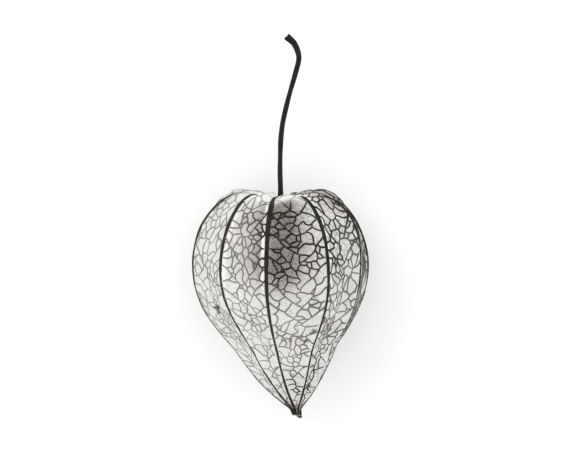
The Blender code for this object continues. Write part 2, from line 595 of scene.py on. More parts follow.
@dataclass(frozen=True)
class FibreFinish:
    """Dry woody fibre, streaked along its run, for ribs, veins, tip and stalk.

    Attributes:
        name: The material's name.
        dark: Colour of the fibre's dark streaks.
        light: Colour of its light streaks.
        worn: Colour where it has weathered.
        young: Colour where the attribute "age" is 0.
        wear: How much of the weathering shows, from 0 to 1.
        shine: The level of its shine.
        grain: Scale of the streaks.
        relief: Depth of the streaks.
        blotch_scale: Scale of the weathering.
    """

    name: str
    dark: Colour
    light: Colour
    worn: Colour
    young: Colour
    wear: float = 0.3
    shine: float = 0.12
    grain: float = 2600.0
    relief: float = 0.05 * MM
    blotch_scale: float = 330.0

    def material(self, groups: Groups) -> bpy.types.Material:
        """Builds the material.

        Args:
            groups: The shared shader groups.

        Returns:
            The material.
        """
        material, bench, shader, place = new_material(self.name)
        along = {"Position": place, "Run": bench.attribute("run"), "Scale": self.grain}
        fibre = bench.add("ShaderNodeGroup", along, node_tree=groups.fibre)
        worn = bench.add(
            "ShaderNodeGroup", {"Position": place, "Scale": self.blotch_scale}, node_tree=groups.weathering
        )
        colour = bench.blend(fibre.outputs["Streak"], self.dark, self.light)
        # the darkening field holds painted shade in front of the berry and on the shoulders and a painted
        # highlight on the rim
        colour = bench.blend(bench.attribute("age"), self.young, colour)
        shown = bench.maths("MULTIPLY", worn.outputs["Blotch"], self.wear)
        bench.tree.links.new(bench.blend(shown, colour, self.worn), shader.inputs["Base Color"])
        rough = bench.ramp(fibre.outputs["Streak"], 0.0, 1.0, start=0.62, end=0.85)
        bench.tree.links.new(rough, shader.inputs["Roughness"])
        height = fibre.outputs["Height"]
        bump = bench.add("ShaderNodeBump", {"Strength": 0.6, "Distance": self.relief, "Height": height})
        bench.tree.links.new(bump.outputs["Normal"], shader.inputs["Normal"])
        shader.inputs["Specular IOR Level"].default_value = self.shine
        return material


RIB_FIBRE = FibreFinish(
    "rib_fibre",
    dark=(0.005, 0.004, 0.003),
    light=(0.022, 0.018, 0.015),
    worn=(0.05, 0.044, 0.038),
    young=(0.04, 0.035, 0.03),
)
VEIN_FIBRE = FibreFinish(
    "vein_fibre",
    dark=(0.007, 0.006, 0.005),
    light=(0.030, 0.025, 0.021),
    worn=(0.09, 0.08, 0.07),
    young=(0.42, 0.395, 0.355),
)
NET_FIBRE = FibreFinish(
    "net_fibre",
    dark=(0.020, 0.017, 0.014),
    light=(0.070, 0.061, 0.052),
    worn=(0.20, 0.18, 0.155),
    young=(0.70, 0.68, 0.64),
)
STALK_FIBRE = FibreFinish(
    "stalk_fibre",
    dark=(0.004, 0.003, 0.003),
    light=(0.018, 0.015, 0.012),
    worn=(0.045, 0.04, 0.034),
    young=(0.0, 0.0, 0.0),
)


@dataclass(frozen=True)
class BerryFinish:
    """The dried berry's skin: dark, satin, with painted shade in its folds and wrinkles and paler bloom in
    patches.

    Attributes:
        deep: Colour of the painted shade in the folds and wrinkles.
        skin: Colour of the skin.
        bloom: Colour of the dusty bloom.
        bloom_share: How much of the bloom shows.
        blotch_scale: Scale of the bloom's patches.
        pore_scale: Scale of the pores.
        relief: Depth of the pores.
    """

    deep: Colour = (0.018, 0.014, 0.011)
    skin: Colour = (0.060, 0.046, 0.037)
    bloom: Colour = (0.15, 0.135, 0.12)
    bloom_share: float = 0.55
    blotch_scale: float = 260.0
    pore_scale: float = 2400.0
    relief: float = 0.05 * MM

    def material(self, groups: Groups) -> bpy.types.Material:
        """Builds the material.

        Args:
            groups: The shared shader groups.

        Returns:
            The material.
        """
        material, bench, shader, place = new_material("berry_skin")
        worn = bench.add(
            "ShaderNodeGroup", {"Position": place, "Scale": self.blotch_scale}, node_tree=groups.weathering
        )
        # painted shade: darker in the folds and wrinkles
        colour = bench.blend(bench.ramp(bench.attribute("fold_shade"), 0.0, 1.0), self.skin, self.deep)
        bloom = bench.maths("MULTIPLY", worn.outputs["Blotch"], self.bloom_share)
        bench.tree.links.new(bench.blend(bloom, colour, self.bloom), shader.inputs["Base Color"])
        rough = bench.ramp(bloom, low=0.0, high=0.5, start=0.34, end=0.62)
        bench.tree.links.new(rough, shader.inputs["Roughness"])
        pores = bench.noise(place, self.pore_scale, detail=3.0, roughness=0.6)
        bump = bench.add("ShaderNodeBump", {"Strength": 0.4, "Distance": self.relief, "Height": pores})
        bench.tree.links.new(bump.outputs["Normal"], shader.inputs["Normal"])
        return material


@dataclass(frozen=True)
class TableFinish:
    """The pale matt table.

    Attributes:
        colour: Its colour.
        shade: The colour of its faint unevenness.
    """

    colour: Colour = (0.90, 0.90, 0.895)
    shade: Colour = (0.88, 0.88, 0.875)

    def material(self) -> bpy.types.Material:
        """Builds the material.

        Returns:
            The material.
        """
        material, bench, shader, place = new_material("pale_table")
        faint = bench.ramp(bench.noise(place, scale=6.0, detail=2.0), low=0.35, high=0.65)
        bench.tree.links.new(bench.blend(faint, self.colour, self.shade), shader.inputs["Base Color"])
        shader.inputs["Roughness"].default_value = 0.9
        shader.inputs["Specular IOR Level"].default_value = 0.1
        return material


# ---------------------------------------------------------------------------------------------------
# Geometry Nodes
# ---------------------------------------------------------------------------------------------------


def tube_tree() -> bpy.types.NodeTree:
    """Makes a closed round tube along each run of edges, as thick as its points say.

    Returns:
        The tree, with inputs Paths, Sides and Material. It reads the attribute "thickness", a
        radius in metres, and leaves the attribute "run", the distance along each path.
    """
    tree = bpy.data.node_groups.new("tubes", "GeometryNodeTree")
    tree.interface.new_socket("Paths", in_out="INPUT", socket_type="NodeSocketGeometry")
    tree.interface.new_socket("Sides", in_out="INPUT", socket_type="NodeSocketInt")
    tree.interface.new_socket("Material", in_out="INPUT", socket_type="NodeSocketMaterial")
    tree.interface.new_socket("Tubes", in_out="OUTPUT", socket_type="NodeSocketGeometry")
    bench = NodeBench(tree)
    given = bench.add("NodeGroupInput")
    paths = bench.add("GeometryNodeMeshToCurve", {"Mesh": given.outputs["Paths"]}).outputs[0]
    run = bench.add("GeometryNodeSplineParameter").outputs["Length"]
    stored = bench.add("GeometryNodeStoreNamedAttribute", {"Geometry": paths, "Name": "run", "Value": run})
    thickness = bench.add("GeometryNodeInputNamedAttribute", {"Name": "thickness"}).outputs["Attribute"]
    circle = bench.add("GeometryNodeCurvePrimitiveCircle", {"Resolution": given.outputs["Sides"]})
    circle.inputs["Radius"].default_value = 1.0
    tube = bench.add(
        "GeometryNodeCurveToMesh",
        {
            "Curve": stored.outputs[0],
            "Profile Curve": circle.outputs["Curve"],
            "Scale": thickness,
            "Fill Caps": True,
        },
    )
    round_tube = bench.add("GeometryNodeSetShadeSmooth", {"Geometry": tube.outputs[0]})
    real = bench.add("GeometryNodeRealizeInstances", {"Geometry": round_tube.outputs[0]})
    dressed = bench.add(
        "GeometryNodeSetMaterial",
        {"Geometry": real.outputs[0], "Material": given.outputs["Material"]},
    )
    bench.add("NodeGroupOutput", {"Tubes": dressed.outputs[0]})
    return tree


def knot_tree() -> bpy.types.NodeTree:
    """Puts a small round knot on each point, as large as the point says.

    Returns:
        The tree, with inputs Points and Material. It reads the attribute "thickness".
    """
    tree = bpy.data.node_groups.new("knots", "GeometryNodeTree")
    tree.interface.new_socket("Points", in_out="INPUT", socket_type="NodeSocketGeometry")
    tree.interface.new_socket("Material", in_out="INPUT", socket_type="NodeSocketMaterial")
    tree.interface.new_socket("Knots", in_out="OUTPUT", socket_type="NodeSocketGeometry")
    bench = NodeBench(tree)
    given = bench.add("NodeGroupInput")
    ball = bench.add("GeometryNodeMeshIcoSphere", {"Radius": 1.0, "Subdivisions": 1})
    thickness = bench.add("GeometryNodeInputNamedAttribute", {"Name": "thickness"}).outputs["Attribute"]
    placed = bench.add(
        "GeometryNodeInstanceOnPoints",
        {"Points": given.outputs["Points"], "Instance": ball.outputs[0], "Scale": thickness},
    )
    real = bench.add("GeometryNodeRealizeInstances", {"Geometry": placed.outputs[0]})
    smooth = bench.add("GeometryNodeSetShadeSmooth", {"Geometry": real.outputs[0]})
    dressed = bench.add(
        "GeometryNodeSetMaterial",
        {"Geometry": smooth.outputs[0], "Material": given.outputs["Material"]},
    )
    bench.add("NodeGroupOutput", {"Knots": dressed.outputs[0]})
    return tree


def grown(name: str, source: bpy.types.Object, tree: bpy.types.NodeTree, values: dict) -> bpy.types.Object:
    """Runs a geometry node tree on a source and keeps its result as a plain mesh.

    Args:
        name: The new piece's name.
        source: The object that the tree reads. It is removed.
        tree: The geometry node tree.
        values: The modifier's inputs by name.

    Returns:
        The new piece, with no modifier on it.
    """
    modifier = source.modifiers.new("grow", "NODES")
    modifier.node_group = tree
    for item in tree.interface.items_tree:
        if item.in_out == "INPUT" and item.name in values:
            modifier[item.identifier] = values[item.name]
    graph = bpy.context.evaluated_depsgraph_get()
    mesh = bpy.data.meshes.new_from_object(source.evaluated_get(graph))
    mesh.name = name
    bpy.data.objects.remove(source)
    piece = bpy.data.objects.new(name, mesh)
    bpy.context.scene.collection.objects.link(piece)
    return piece


# ---------------------------------------------------------------------------------------------------
# The husk's form
# ---------------------------------------------------------------------------------------------------


@dataclass(frozen=True)
class LyingFrame:
    """Turns the hanging lantern's own coordinates into the frame's, where it lies on its back.

    Attributes:
        axis_x: Where the lantern's axis is, across.
        crest_y: Where the shoulders' crest is, along the table.
        axis_z: How high the axis is.
    """

    axis_x: float
    crest_y: float
    axis_z: float

    @classmethod
    def of_cad(cls, husk_length: float) -> "LyingFrame":
        """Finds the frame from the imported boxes.

        Args:
            husk_length: From the shoulders' crest to the tip.

        Returns:
            The frame whose axis runs through the berry's middle.
        """
        low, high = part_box("berry")
        middle = (low + high) / 2
        return cls(middle.x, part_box("husk")[0].y + husk_length, middle.z)

    def place(self, x: np.ndarray, y: np.ndarray, z: np.ndarray) -> np.ndarray:
        """Places points given in the hanging lantern's coordinates.

        Args:
            x: To the right, seen from the front.
            y: Away from the front.
            z: Up from the shoulders' crest.

        Returns:
            The points in the frame, one row each.
        """
        return np.stack([x + self.axis_x, z + self.crest_y, self.axis_z - y], axis=-1)


@dataclass(frozen=True)
class Patch:
    """A soft patch on the husk's skin, such as the painted shade in front of the berry.

    Attributes:
        strength: How strong it is in its middle.
        angle: The angle of its middle, from the front towards the right.
        width: The angle over which it fades.
        full_depth: How deep below the crest it stays at its full strength.
        fade: The depth over which it fades below that.
    """

    strength: float
    angle: float
    width: float
    full_depth: float
    fade: float

    def at(self, angle: np.ndarray, depth: np.ndarray) -> np.ndarray:
        """The patch's strength at angles and depths."""
        down = bell(np.maximum(depth, self.full_depth), self.full_depth, self.fade)
        return self.strength * bell(angle, self.angle, self.width) * down


@dataclass
class HuskForm:
    """The husk's skin: a turned outline, puffed and ribbed, dipped at the rim and leaning at the tip.

    Attributes:
        lying: Where the lantern lies.
        outline: Knots of the outline as (radius, depth) with the handles before and after, in millimetres.
        ribs: How many ribs there are.
        first_rib: The angle of the front rib.
        first_rib_stray: How far the front rib has strayed from its even place.
        crowding: How far the back rib has strayed round, which crowds the ribs on the right.
        keel_height: How far the skin is drawn out along a rib.
        keel_sharpness: How narrow that keel is.
        main_rib_rise: How far the skin stands out broadly round a rib.
        panel_puff: How far a panel puffs out on the shoulders.
        panel_sag: How far a panel sags in on the flank.
        puff_depth: The depth at which puffing has turned to sagging.
        relief_fade: How far above the tip all relief starts to fade.
        tip_lean: How far the tip leans to the right.
        lean_start: The depth at which the leaning starts.
        rim_dip: How far the rim dips at the front and the back.
        rim_dip_depth: The depth at which that dip has faded.
        rim_dip_inner: The radius inside which the rim doesn't dip.
        rim_dip_ramp: The width over which the dip sets in.
        lying_depth: How far below the axis the back lies flat.
        dent_depth: Depth of the skin's small dents.
        nick_depth: How deep below the crest the small nick on the right is.
        nick_turn: The nick's turn.
        nick_size: How deep the nick is.
        nick_length: Its length along the flank.
        nick_width: Its width as a turn.
        wander: How far the ribs wander sideways.
        quiet_rim: How far from the rim the skin is even.
        quiet_tip: How far from the tip the skin starts to grow even.
        young_age: The veins' darkening where nothing adds to it.
        side_darkening: How much darker the veins are made towards the right side.
        side_reach: How far round, as a sine, that darkening sets in.
        tip_age: What the tip adds.
        tip_start: The depth at which the tip's ageing starts.
        shade_and_dried_tip_age: What the painted shade in front of the berry and on the shoulders, and the
            dried tip, add.
        patchy_age: How patchy the ageing is.
        slack_side_loss: How much of the right side's darkening the slack flank loses.
        slack_start: The depth at which the flank starts to slacken.
        slack_end: The depth at which it starts to tighten towards the tip.
        rim_highlight_turn: How far left of the front the rim's painted highlight has its middle.
        rim_highlight_start: The depth down to which the rim's painted highlight is at its full strength.
        rim_highlight_reach: How far that painted highlight fades below that on the right.
        rim_highlight_extra: How much further it fades on the left.
        berry_shade_patches: The painted shade of the berry, seen through the skin in front of it.
        shoulder_shade_patches: The painted shade on the shoulders near the crest.
        dried_start: The depth at which the tip has dried brown.
        length: The outline's length, from the stalk to the tip.
        panel: The turn from one rib to the next.
    """

    lying: LyingFrame
    outline: tuple = (
        ((1.6, 3.6), (0.0, 0.0), (0.6, -2.4)),
        ((8.0, 0.0), (-3.4, 0.0), (4.6, 0.0)),
        ((17.2, 15.0), (0.0, -7.7), (0.0, 7.6)),
        ((9.7, 31.4), (3.5, -4.8), (-2.8, 5.4)),
        ((1.1, 43.4), (2.8, -2.6), (-0.2, 0.5)),
        ((0.85, 45.0), (0.0, -0.6), (0.0, 0.0)),
    )
    ribs: int = 10
    first_rib: float = math.radians(-4)
    first_rib_stray: float = math.radians(-5.5)
    crowding: float = math.radians(14)
    keel_height: float = 0.30 * MM
    keel_sharpness: int = 8
    main_rib_rise: float = 0.25 * MM
    panel_puff: float = 0.70 * MM
    panel_sag: float = 0.55 * MM
    puff_depth: float = 7.0 * MM
    relief_fade: float = 8.0 * MM
    tip_lean: float = 3.3 * MM
    lean_start: float = 15.0 * MM
    rim_dip: float = 1.3 * MM
    rim_dip_depth: float = 10.0 * MM
    rim_dip_inner: float = 3.0 * MM
    rim_dip_ramp: float = 4.0 * MM
    lying_depth: float = 16.1 * MM
    dent_depth: float = 0.16 * MM
    nick_depth: float = 30.0 * MM
    nick_turn: float = math.radians(84)
    nick_size: float = 0.6 * MM
    nick_length: float = 1.3 * MM
    nick_width: float = 0.4
    wander: float = math.radians(0.9)
    quiet_rim: float = 6.0 * MM
    quiet_tip: float = 9.0 * MM
    young_age: float = 0.26
    side_darkening: float = 0.62
    side_reach: float = 0.75
    tip_age: float = 0.35
    tip_start: float = 33.0 * MM
    shade_and_dried_tip_age: float = 0.85
    patchy_age: float = 0.08
    slack_side_loss: float = 0.38
    slack_start: float = 10.0 * MM
    slack_end: float = 30.0 * MM
    rim_highlight_turn: float = math.radians(10)
    rim_highlight_start: float = 0.3 * MM
    rim_highlight_reach: float = 1.5 * MM
    rim_highlight_extra: float = 1.6 * MM
    berry_shade_patches: tuple[Patch, ...] = (
        Patch(0.5, math.radians(1), math.radians(12), 13.0 * MM, 7.0 * MM),
        Patch(0.5, math.radians(-5), math.radians(33), 13.0 * MM, 7.0 * MM),
    )
    shoulder_shade_patches: tuple[Patch, ...] = (
        Patch(0.55, math.radians(62), math.radians(28), 0.0, 5.0 * MM),
        Patch(0.35, math.radians(-72), math.radians(25), 0.0, 3.0 * MM),
    )
    dried_start: float = 42.0 * MM
    length: float = field(init=False)
    panel: float = field(init=False)

    def __post_init__(self) -> None:
        """Samples the outline and its outward direction."""
        share = np.linspace(0.0, 1.0, 161)[:, None]
        arcs = []
        for (start, _, out), (end, back, _) in zip(self.outline, self.outline[1:]):
            a, d = np.array(start), np.array(end)
            b, c = a + np.array(out), d + np.array(back)
            arc = a * (1 - share) ** 3 + 3 * b * share * (1 - share) ** 2
            arcs.append((arc + 3 * c * share**2 * (1 - share) + d * share**3)[bool(arcs):])
        points = np.vstack(arcs) * MM
        step = np.hypot(*np.diff(points, axis=0).T)
        self.radii, self.depths = points.T
        self.alongs = np.concatenate(([0.0], np.cumsum(step)))
        self.out_radius = np.gradient(self.depths, self.alongs)
        self.out_depth = -np.gradient(self.radii, self.alongs)
        middle = (self.radii[1:] + self.radii[:-1]) / 2
        self.spreads = np.concatenate(([0.0], np.cumsum(step / middle)))
        self.length = self.alongs[-1]
        self.panel = math.tau / self.ribs
        self.dents = Ripples(seed=11)
        self.wanderings = Ripples(seed=23, waves=6, turn_rates=(1, 6), along_rates=(30.0, 160.0))

    def radius_at(self, along: np.ndarray) -> np.ndarray:
        """The plain outline's radius at distances along it."""
        return np.interp(along, self.alongs, self.radii)

    def depth_at(self, along: np.ndarray) -> np.ndarray:
        """The plain outline's depth below the crest at distances along it."""
        return np.interp(along, self.alongs, self.depths)

    def on_rib(self, turn: np.ndarray) -> np.ndarray:
        """Whether each of some turns is a rib's."""
        return np.abs(np.sin(turn * self.ribs / 2.0)) < 1e-3

    def relief(self, turn: np.ndarray, depth: np.ndarray) -> np.ndarray:
        """How far the skin stands out from the plain outline.

        Args:
            turn: Even turns, 0 at the first rib.
            depth: Depths below the crest.

        Returns:
            The relief, along the outline's outward direction.
        """
        across = np.sin(turn * self.ribs / 2.0) ** 2
        flank = smoothstep(depth / self.puff_depth)
        main_rib = self.main_rib_rise * np.maximum(0.0, np.cos(turn * self.ribs / 2.0)) * flank
        keel = self.keel_height * (1.0 - across) ** self.keel_sharpness * flank
        fade = smoothstep((self.length_deep() - depth) / self.relief_fade)
        puffed = across * (self.panel_puff * (1.0 - flank) - self.panel_sag * flank)
        return fade * (keel + main_rib + puffed)

    def length_deep(self) -> float:
        """How far the tip is below the crest."""
        return float(self.depths[-1])

    def lean(self, depth: np.ndarray) -> np.ndarray:
        """How far the leaning axis is to the right at a depth."""
        share = np.maximum(0.0, depth - self.lean_start) / (self.length_deep() - self.lean_start)
        return self.tip_lean * share**2

    def angle(self, turn: np.ndarray, along: np.ndarray, quiet: np.ndarray | float = 1.0) -> np.ndarray:
        """The true angle of even turns, from the front towards the right.

        Args:
            turn: Even turns, 0 at the first rib.
            along: Distances along the outline.
            quiet: How much the skin may wander there, from 0 to 1.

        Returns:
            The angles.
        """
        wrapped = (turn + math.pi) % math.tau - math.pi
        near = np.abs(wrapped) < self.panel
        stray = self.first_rib_stray * np.cos(wrapped * self.ribs / 4.0) ** 2 * near
        crowded = self.crowding * (1.0 - np.cos(turn)) / 2.0
        wandering = self.wander * self.wanderings.at(turn, along) * quiet
        return self.first_rib + turn + stray - crowded + wandering

    def age(self, turn: np.ndarray, along: np.ndarray) -> np.ndarray:
        """How far the veins are darkened: least on the left flank, most on the right and at the tip, with
        painted shade in front of the berry and on the shoulders and a painted highlight on the rim.

        Args:
            turn: Even turns, 0 at the first rib.
            along: Distances along the outline.

        Returns:
            The darkening, from 0 to 1.
        """
        angle, depth = self.angle(turn, along), self.depth_at(along)
        # darker towards the right side
        side = rise(np.sin(angle), -self.side_reach, 2 * self.side_reach)
        side = side * (1.0 - self.slack_side_loss * self.slack(along))
        tip = rise(depth, self.tip_start, 8 * MM)
        patches = self.dents.at(turn * 2.0, along * 1.7)
        total = self.young_age + self.side_darkening * side + self.tip_age * tip
        # painted shade: the veins are darkened in front of the berry and on the shoulders, with the real
        # darkening of the dried tip
        total = total + self.shade_and_dried_tip_age * self.painted_shade_and_dried_tip(turn, along) + self.patchy_age * patches
        # painted highlight: the veins are made paler on the rim round the dimple
        return np.clip(total, 0.0, 1.0) * (1.0 - 0.75 * self.rim_highlight(turn, along))

    def slack(self, along: np.ndarray) -> np.ndarray:
        """How far the veins have weakened: most on the flank between the equator and the tip.

        Args:
            along: Distances along the outline.

        Returns:
            The weakening, from 0 to 1.
        """
        depth = self.depth_at(along)
        return rise(depth, self.slack_start, 9 * MM) * (1.0 - rise(depth, self.slack_end, 7 * MM))

    def rim_highlight(self, turn: np.ndarray, along: np.ndarray) -> np.ndarray:
        """How strong the painted highlight on the rim round the dimple is: strongest on the front's left.

        Args:
            turn: Even turns, 0 at the first rib.
            along: Distances along the outline.

        Returns:
            The painted highlight, from 0 to 1.
        """
        angle = self.angle(turn, along)
        left = rise(-np.sin(angle), -0.1, 0.5)
        front = rise(np.cos(angle + self.rim_highlight_turn), 0.62, 0.25)
        reach = self.rim_highlight_reach + self.rim_highlight_extra * left
        return front * (1.0 - rise(self.depth_at(along), self.rim_highlight_start, reach))

    def painted_shade_and_dried_tip(self, turn: np.ndarray, along: np.ndarray) -> np.ndarray:
        """How far the skin is darkened: painted shade of the berry in front of it, painted shade on the
        shoulders, and the real brown of the dried tip.

        Args:
            turn: Even turns, 0 at the first rib.
            along: Distances along the outline.

        Returns:
            The painted shade and browning, from 0 to 1: darkest just right of the front rib, with a fainter
            border.
        """
        angle, depth = self.angle(turn, along), self.depth_at(along)
        angle = (angle + math.pi) % math.tau - math.pi
        # painted shade of the berry seen through the skin, and painted shade on the shoulders
        front = sum(patch.at(angle, depth) for patch in self.berry_shade_patches)
        shoulders = sum(patch.at(angle, depth) for patch in self.shoulder_shade_patches)
        return np.maximum(front, np.maximum(rise(depth, self.dried_start, 1.2 * MM), shoulders))

    def skin(
        self,
        turn: np.ndarray,
        along: np.ndarray,
        lift: np.ndarray | float = 0.0,
        thickness: np.ndarray | float = 0.0,
    ) -> np.ndarray:
        """Points of the skin.

        Args:
            turn: Even turns, 0 at the first rib.
            along: Distances along the outline.
            lift: How far outside the skin the points are.
            thickness: Radii of what runs through the points, which is kept above the table.

        Returns:
            The points in the frame, one row each.
        """
        turn, along = np.asarray(turn, float), np.asarray(along, float)
        radius, depth = self.radius_at(along), self.depth_at(along)
        quiet = smoothstep(along / self.quiet_rim) * smoothstep((self.length - along) / self.quiet_tip)
        dent = self.dent_depth * self.dents.at(turn, along) * quiet
        nick = bell(depth, self.nick_depth, self.nick_length) * bell(turn, self.nick_turn, self.nick_width)
        out = self.relief(turn, depth) + dent - self.nick_size * nick + lift
        radius = radius + out * np.interp(along, self.alongs, self.out_radius)
        depth = depth + out * np.interp(along, self.alongs, self.out_depth)
        angle = self.angle(turn, along, quiet)
        on_crest = smoothstep((radius - self.rim_dip_inner) / self.rim_dip_ramp)
        on_crest = on_crest * (1.0 - smoothstep(depth / self.rim_dip_depth))
        depth = depth + self.rim_dip * np.cos(angle) ** 2 * on_crest
        x = radius * np.sin(angle) + self.lean(depth)
        back = np.minimum(-radius * np.cos(angle), self.lying_depth - thickness)
        return self.lying.place(x, back, -depth)


# ---------------------------------------------------------------------------------------------------
# The vein net
# ---------------------------------------------------------------------------------------------------


@dataclass
class PanelNet:
    """The net of one panel between two ribs, in the panel's own coordinates.

    Attributes:
        turns: Each corner's turn.
        alongs: Each corner's distance along the outline.
        cells: Each mesh of the net as a ring of corner numbers.
        veins: Pairs of corner numbers by rank.
        middles: Each cell's middle as (turn, along).
    """

    turns: np.ndarray
    alongs: np.ndarray
    cells: list[list[int]]
    veins: dict[VeinRank, list[tuple[int, int]]]
    middles: np.ndarray


@dataclass
class VeinNet:
    """Grows the net of polygons that fills the panels, and ranks its veins.

    The net is a Voronoi diagram, drawn where the skin's turned outline is unrolled without changing
    angles, so its cells are as round on the skin as on the sheet. Seeds are mirrored in the ribs, which
    makes the cells end on them.

    Attributes:
        form: The husk's form.
        spacing: Distance between two cells.
        jitter: How far a seed strays, as a share of the spacing.
        branch_spacing: Distance between two branches along a rib.
        branch_slope: How far a branch runs towards the tip for each unit that it leaves its rib.
        loop_spacing: Distance between two loops.
        row_height: Distance between two rows of cells, as a share of the spacing.
        row_shift: How far every second row is shifted each way, as a share of a cell's width.
        rib_clearance: How near a seed comes to a rib, as a share of a cell's width.
        end_clearance: How near a seed comes to the net's ends, as a spread.
        seed: The seed of the random draws.
    """

    form: HuskForm
    spacing: float = 1.05 * MM
    jitter: float = 0.30
    row_height: float = 0.87
    row_shift: float = 0.25
    rib_clearance: float = 0.22
    end_clearance: float = 0.02
    branch_spacing: float = 4.7 * MM
    branch_slope: float = 1.15
    loop_spacing: float = 1.85 * MM
    seed: int = 5

    def grow(self) -> list[PanelNet]:
        """Grows the net of each panel.

        Returns:
            The panels' nets, from the first rib on.
        """
        rng = np.random.default_rng(self.seed)
        return [self.grow_panel(number, rng) for number in range(self.form.ribs)]

    def scatter(self, rng: np.random.Generator) -> np.ndarray:
        """Scatters one panel's seeds in jittered rows that slope with the branches.

        Args:
            rng: The random draws.

        Returns:
            Seeds as (turn from the panel's first rib, spread).
        """
        form, seeds, row = self.form, [], 0
        spread = -self.branch_slope * form.panel / 2
        while True:
            radius = form.radius_at(np.interp(spread, form.spreads, form.alongs))
            pitch = self.spacing / radius
            spread += pitch * self.row_height / 2
            if spread >= form.spreads[-1]:
                break
            count = max(1, round(form.panel / pitch))
            width = form.panel / count
            shift = self.row_shift if row % 2 else -self.row_shift
            near = self.rib_clearance * width
            for place in range(count):
                stray = rng.uniform(-self.jitter, self.jitter, 2)
                turn = (place + 0.5 + shift * (count > 1)) * width + stray[0] * width
                turn = min(max(turn, near), form.panel - near)
                slope = self.branch_slope * min(turn, form.panel - turn)
                seeds.append((turn, spread + slope + stray[1] * pitch))
            spread += pitch * self.row_height / 2
            row += 1
        seeds = np.array(seeds)
        last = form.spreads[-1] - self.end_clearance
        return seeds[(seeds[:, 1] > self.end_clearance) & (seeds[:, 1] < last)]

    def grow_panel(self, number: int, rng: np.random.Generator) -> PanelNet:
        """Grows one panel's net.

        Args:
            number: The panel's number.
            rng: The random draws.

        Returns:
            The panel's net.
        """
        form = self.form
        seeds = self.scatter(rng)
        corners, cells = self.voronoi(seeds)
        regions, loops = self.regions(seeds, rng)
        veins = self.rank_veins(corners, cells, regions, loops)
        corners = self.straighten(corners, veins)
        middles = np.array([corners[cell].mean(0) for cell in cells])
        start = number * form.panel
        alongs = np.interp(corners[:, 1], form.spreads, form.alongs)
        middle_alongs = np.interp(middles[:, 1], form.spreads, form.alongs)
        middles = np.stack([middles[:, 0] + start, middle_alongs], axis=-1)
        return PanelNet(corners[:, 0] + start, alongs, cells, veins, middles)

    def voronoi(self, seeds: np.ndarray) -> tuple[np.ndarray, list[list[int]]]:
        """The cells round the seeds, ended by the panel's four sides.

        Args:
            seeds: The seeds.

        Returns:
            The corners, and each cell as a ring of corner numbers.
        """
        right, end = self.form.panel, self.form.spreads[-1]
        mirrored = [seeds, seeds * (-1, 1), seeds * (-1, 1) + (2 * right, 0)]
        wide = np.vstack(mirrored)
        every = np.vstack([wide, wide * (1, -1), wide * (1, -1) + (0, 2 * end)])
        reach = 8 * self.spacing / self.form.radii.min()
        inside = (every[:, 0] > -right * 0.6) & (every[:, 0] < right * 1.6)
        inside &= (every[:, 1] > -reach) & (every[:, 1] < end + reach)
        inside[: len(seeds)] = True
        every = every[inside]
        points, _, triangles, *_ = delaunay_2d_cdt([Vector(p) for p in every], [], [], 0, 1e-7, False)
        points = np.array(points)
        triangles = np.array(triangles)
        a, b, c = (points[triangles[:, i]] for i in range(3))
        (abx, aby), (acx, acy) = (b - a).T, (c - a).T
        twice = 2 * (abx * acy - aby * acx)
        ab2, ac2 = abx**2 + aby**2, acx**2 + acy**2
        offsets = np.stack([acy * ab2 - aby * ac2, abx * ac2 - acx * ab2], axis=-1)
        centres = a + offsets / twice[:, None]
        around = [[] for _ in range(len(seeds))]
        for triangle, corners in enumerate(triangles):
            for corner in corners:
                if corner < len(seeds):
                    around[corner].append(triangle)
        known, kept, cells = {}, [], []
        for seed, touching in zip(seeds, around):
            offsets = centres[touching] - seed
            ring = []
            for turn in np.argsort(np.arctan2(offsets[:, 1], offsets[:, 0])):
                centre = centres[touching[turn]]
                key = (round(centre[0] * 1e4), round(centre[1] * 1e4))
                if key not in known:
                    known[key] = len(kept)
                    kept.append(centre)
                if known[key] not in ring:
                    ring.append(known[key])
            cells.append(ring)
        corners = np.array(kept)
        corners[:, 0] = np.clip(corners[:, 0], 0.0, right)
        corners[:, 1] = np.clip(corners[:, 1], 0.0, end)
        return corners, cells

    def regions(self, seeds: np.ndarray, rng: np.random.Generator) -> tuple[np.ndarray, np.ndarray]:
        """Sorts the cells into the strips between branches, and into loops within those.

        Args:
            seeds: The cells' seeds.
            rng: The random draws.

        Returns:
            Each cell's strip and loop numbers.
        """
        form = self.form
        along = np.interp(seeds[:, 1], form.spreads, form.alongs)
        radius = form.radius_at(along)
        side = (seeds[:, 0] > form.panel / 2).astype(int)
        leave = np.minimum(seeds[:, 0], form.panel - seeds[:, 0]) * radius
        phase = rng.uniform(0.0, 1.0, 2)[side]
        strip = np.floor((along - self.branch_slope * leave) / self.branch_spacing + phase).astype(int)
        strips = strip * 2 + side + 1000
        order = rng.permutation(len(seeds))
        share = (self.spacing / self.loop_spacing) ** 2
        heads = order[: max(4, int(len(seeds) * share))]
        offsets = seeds[:, None, :] - seeds[None, heads, :]
        distance = (offsets**2).sum(2) + 1e3 * (strips[:, None] != strips[None, heads])
        return strips, heads[distance.argmin(1)]

    def rank_veins(self, corners: np.ndarray, cells: list, strips: np.ndarray, loops: np.ndarray) -> dict:
        """Ranks the edges between cells. Edges on the panel's sides are left to the ribs.

        Args:
            corners: The corners.
            cells: The cells.
            strips: Each cell's strip.
            loops: Each cell's loop.

        Returns:
            Pairs of corner numbers by rank.
        """
        shared = {}
        for number, ring in enumerate(cells):
            for a, b in zip(ring, ring[1:] + ring[:1]):
                shared.setdefault((min(a, b), max(a, b)), []).append(number)
        veins = {rank: [] for rank in VeinRank}
        for edge, owners in shared.items():
            if len(owners) < 2:
                continue
            first, second = owners[:2]
            if strips[first] != strips[second]:
                midline = (strips[first] - strips[second]) % 2 == 1
                rank = VeinRank.LOOP if midline else VeinRank.BRANCH
            elif loops[first] != loops[second]:
                rank = VeinRank.LOOP
            else:
                rank = VeinRank.MESH
            veins[rank].append(edge)
        return veins

